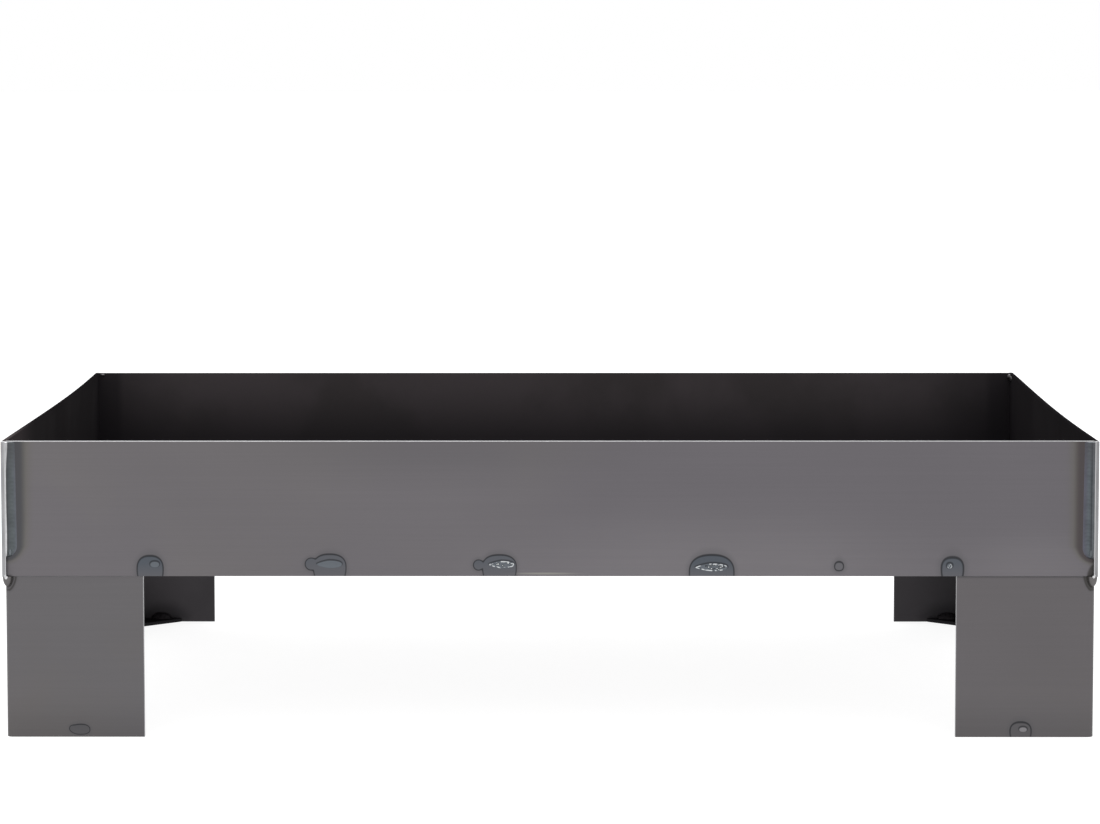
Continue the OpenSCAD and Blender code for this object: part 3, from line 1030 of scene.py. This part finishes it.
# %% Tacks in the tray
LUMP_X, LUMP_Y = LEG_X - BEND_OUTER - 4 * MM, LEG_Y - SHEET
BASE_TACK, BASE_LEG = 16 * MM, 8 * MM
TACK_PITCH, TACK_DEPTH = 4 * MM, 0.07


def bright_drop(co):
    """The middle and radius of the drop, painted nearly white as a highlight, under the side panel's end
    nearest to co.
    """
    aside, up, radius = DROPS[-1 if co.x < 0 else 1]
    x, y = INNER_X + aside * MM, PANEL_END_Y - (radius + 0.1) * MM
    z = TRAY_BOTTOM + (up - 1.0) * MM
    return Vector((math.copysign(x, co.x), math.copysign(y, co.y), z)), radius * MM


def add_tack(bm, length, leg_size, middle, axis, side, up=1):
    """A short bead along X (axis 0) or Y (1), against a sheet on this side of it, rising up."""
    along, inward = Vector(), Vector()
    along[axis], inward[1 - axis] = 1, -side
    carry = turned(inward, (0, 0, up), along, Vector(middle) - along * length / 2)
    add_bead(bm, length, (leg_size, leg_size), (length / 2, length / 2), TACK_PITCH, TACK_DEPTH, carry)


def tack_piece(bm, node, metal):
    """Closes a node's tacks and gives them their metal; a lump is told by its place."""
    close_welds(bm)
    for face in bm.faces:
        middle = face.calc_center_median()
        face.material_index = 1 if abs(middle.x) > LUMP_X and abs(middle.y) > LUMP_Y else 0
        drop, radius = bright_drop(middle)
        if face.material_index and (middle - drop).length < radius + 0.1 * MM:
            face.material_index = 2
    metals = [metal, LUMP_METAL, DROP_METAL]
    finish_piece(bm, node, "beads", metals, lambda co: {"across": 0.5})


for wall, (axis, side) in WALLS.items():
    bm = bmesh.new()
    for place in TACKS[wall]:
        middle = [side * INNER_X, side * INNER_Y, TRAY_FLOOR]
        middle[axis] = place * MM
        add_tack(bm, BASE_TACK, BASE_LEG, middle, axis, side)
    tack_piece(bm, f"base_tacks_{wall}", SOOTY_METAL)

# %% [markdown]
# Each leg has two tacks under the base plate, and its foot plate has two more. Outside, under the side
# panel's end, a lump of weld metal has run down the corner: a ball drawn out downwards and cut flat
# where it meets the tray, with a small drop of the panel's molten edge over it, painted nearly white as
# a highlight.

# %% Tacks and lumps of the legs
LEG_TACK, FOOT_BEAD, SMALL_LEG = 12 * MM, 18 * MM, 5.5 * MM


def add_lump(bm, corner):
    """The lump at the top of a leg's outer corner, which is cut while bm holds nothing else."""
    centre = Vector((corner[0] * LUMP_CENTRE.x, corner[1] * LUMP_CENTRE.y, LUMP_CENTRE.z))
    drawn_out = Matrix.Translation(centre) @ Matrix.Diagonal((*LUMP_SIZE, 1.0))
    bmesh.ops.create_icosphere(bm, subdivisions=4, radius=1.0, matrix=drawn_out)
    cut = bmesh.ops.bisect_plane(
        bm, geom=bm.verts[:] + bm.edges[:] + bm.faces[:], plane_no=(0, 0, 1),
        plane_co=(0, 0, TRAY_BOTTOM - 0.01 * MM), clear_outer=True,
    )
    bmesh.ops.holes_fill(bm, edges=[e for e in cut["geom_cut"] if isinstance(e, bmesh.types.BMEdge)])
    drop, radius = bright_drop(centre)
    bmesh.ops.create_icosphere(bm, subdivisions=3, radius=radius, matrix=Matrix.Translation(drop))


def flange_tacks(bm, corner, length, reach, height, up):
    """A tack inside each flange of a leg, reach away from the leg's outer corner."""
    for axis, outer in enumerate((LEG_X, LEG_Y)):
        middle = [corner[0] * (LEG_X - SHEET), corner[1] * (LEG_Y - SHEET), height]
        middle[axis] = corner[axis] * (outer - reach)
        add_tack(bm, length, SMALL_LEG, middle, axis, corner[1 - axis], up)


for name, corner in CORNERS.items():
    bm = bmesh.new()
    add_lump(bm, corner)
    flange_tacks(bm, corner, LEG_TACK, LEG_FLANGE / 2, TRAY_BOTTOM, -1)
    tack_piece(bm, f"leg_tacks_{name}", OILED_METAL)
    bm = bmesh.new()
    flange_tacks(bm, corner, FOOT_BEAD, FOOT_TACK * MM, SHEET, 1)
    tack_piece(bm, f"foot_tacks_{name}", OILED_METAL)

# %% [markdown]
# The set is a plain studio: a wide pale floor, a white surround, and three large soft lights that
# shape the sheets a little. The view transform is Standard, so that a grey on the steel comes out
# as the grey that was chosen.

# %% Floor and lights
material, tree, _, _, (mottle,) = start_material("pale_matt_floor", [(0.05, 2.0)], {
    "Roughness": 0.8, "Specular IOR Level": 0.1, "Emission Color": "#ffffff", "Emission Strength": 0.9,
})
pale = layered(tree, "#8c8c8c", [(fade(tree, mottle, 0.6, 0.4), "#909090")])
tree.links.new(pale, tree.nodes["Principled BSDF"].inputs["Base Color"])
bm = bmesh.new()
bmesh.ops.create_grid(bm, x_segments=8, y_segments=8, size=30)
floor = as_object(bm, "floor", [material])

scene = bpy.context.scene
world = bpy.data.worlds.new("white_surround")
world.use_nodes = True
surround = world.node_tree.nodes["Background"].inputs
surround["Color"].default_value = linear("#ffffff")
surround["Strength"].default_value = 1.0
scene.world = world
scene.view_settings.view_transform = "Standard"

# Each light has a place, the height on the tray's axis that it looks at, a size and a power.
for name, place, target, size, power in (
    ("key_light", (-0.7, -3.0, 2.2), 0.15, 1.6, 9),
    ("fill_light", (1.3, -2.9, 2.0), 0.15, 1.6, 8),
    ("top_light", (0, 0.6, 2.8), 0.2, 2.0, 60),
):
    light = bpy.data.lights.new(name, "AREA")
    light.shape = "SQUARE"
    light.size = size
    light.energy = power
    lamp = bpy.data.objects.new(name, light)
    lamp.location = place
    looking = Vector((0, 0, target)) - Vector(place)
    lamp.rotation_euler = looking.to_track_quat("-Z", "Y").to_euler()
    scene.collection.objects.link(lamp)

# %% [markdown]
# The camera stands a little over three metres away with a long lens, half a metre up and looking
# slightly down, as in the photograph. The rims' heights and the panels' widths in the picture
# give its distance and height.

# %% Camera
camera_data = bpy.data.cameras.new("photo_camera")
camera_data.lens = 136.53
camera_data.sensor_width = 36
camera = bpy.data.objects.new("photo_camera", camera_data)
camera.location = (0.01997, -3.3506, 0.5231)
camera.rotation_euler = [math.radians(angle) for angle in (90 - 5.28, 0.04, 0.365)]
scene.collection.objects.link(camera)
scene.camera = camera
